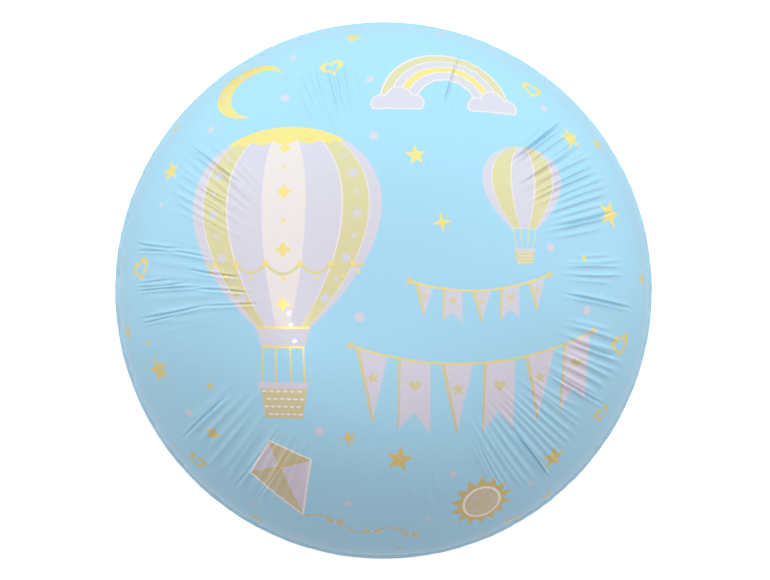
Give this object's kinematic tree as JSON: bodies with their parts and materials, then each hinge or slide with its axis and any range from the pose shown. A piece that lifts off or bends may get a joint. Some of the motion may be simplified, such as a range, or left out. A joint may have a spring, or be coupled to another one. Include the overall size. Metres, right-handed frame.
{
  "type": "foil balloon",
  "caption": "Round sealed foil balloon, filled tight and lying face up, with a printed front film, a plain back film, a puckered welded rim and a flat filling tail.",
  "frame": {"origin": "middle of the flat spot on the back, where the balloon rests", "axes": "+Z from the back film to the printed front film, +Y towards the top of the print, +X to the right of the print seen from the front"},
  "size_m": [0.3464, 0.3464, 0.2032],
  "materials": {
    "printed_film": "satin metallised film, printed sky blue with pearl white and pale gold",
    "plain_film": "satin metallised film, plain sky blue"
  },
  "bodies": {
    "root": {"foil_balloon": "printed_film"}
  },
  "joints": []
}
